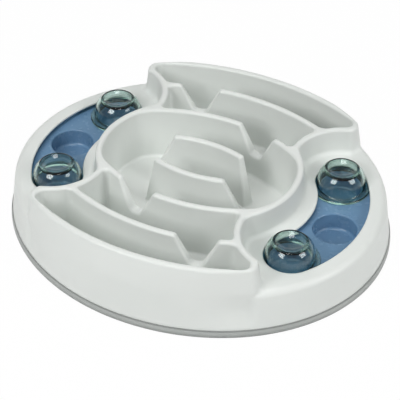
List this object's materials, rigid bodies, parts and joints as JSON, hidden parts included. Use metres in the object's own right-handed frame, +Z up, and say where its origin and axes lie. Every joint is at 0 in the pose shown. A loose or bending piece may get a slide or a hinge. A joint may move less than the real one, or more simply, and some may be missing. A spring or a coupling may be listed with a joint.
{
  "type": "dog puzzle feeder",
  "caption": "Oval dog puzzle feeder: a moulded maze bowl with crescent arms, curved side tracks over treat wells, clear sliding covers and a soft non-slip foot ring.",
  "frame": {"origin": "on the floor under the middle of the bowl", "axes": "+X along the long axis through the middle wells, towards the right-hand track; +Y towards the back of the bowl; +Z up"},
  "size_m": [0.3994, 0.3484, 0.076],
  "materials": {
    "white_plastic": "satin cool off-white moulded plastic",
    "grey_rubber": "matt grey soft band",
    "blue_plastic": "satin blue moulded plastic",
    "clear_teal": "clear teal-tinted moulded plastic",
    "plated_steel": "bright zinc plate"
  },
  "bodies": {
    "base": {"bowl_shell": "white_plastic", "non_slip_ring": "grey_rubber", "tray_left": "blue_plastic", "tray_right": "blue_plastic", "tray_screw_left_1": "plated_steel", "tray_screw_left_2": "plated_steel", "tray_screw_left_3": "plated_steel", "tray_screw_left_4": "plated_steel", "tray_screw_right_1": "plated_steel", "tray_screw_right_2": "plated_steel", "tray_screw_right_3": "plated_steel", "tray_screw_right_4": "plated_steel"},
    "cover_left_front": {"cover_left_front": "clear_teal"},
    "cover_left_back": {"cover_left_back": "clear_teal"},
    "cover_right_front": {"cover_right_front": "clear_teal"},
    "cover_right_back": {"cover_right_back": "clear_teal"}
  },
  "joints": [
    {"name": "cover_left_front_slide", "type": "hinge", "parent": "base", "child": "cover_left_front", "pos_m": [-0.0448, 0, 0.041], "axis": [0, 0, -1], "range_deg": [0, 19.5]},
    {"name": "cover_left_back_slide", "type": "hinge", "parent": "base", "child": "cover_left_back", "pos_m": [-0.0448, 0, 0.041], "axis": [0, 0, 1], "range_deg": [0, 19.5]},
    {"name": "cover_right_front_slide", "type": "hinge", "parent": "base", "child": "cover_right_front", "pos_m": [0.0448, 0, 0.041], "axis": [0, 0, 1], "range_deg": [0, 19.5]},
    {"name": "cover_right_back_slide", "type": "hinge", "parent": "base", "child": "cover_right_back", "pos_m": [0.0448, 0, 0.041], "axis": [0, 0, -1], "range_deg": [0, 19.5]}
  ]
}
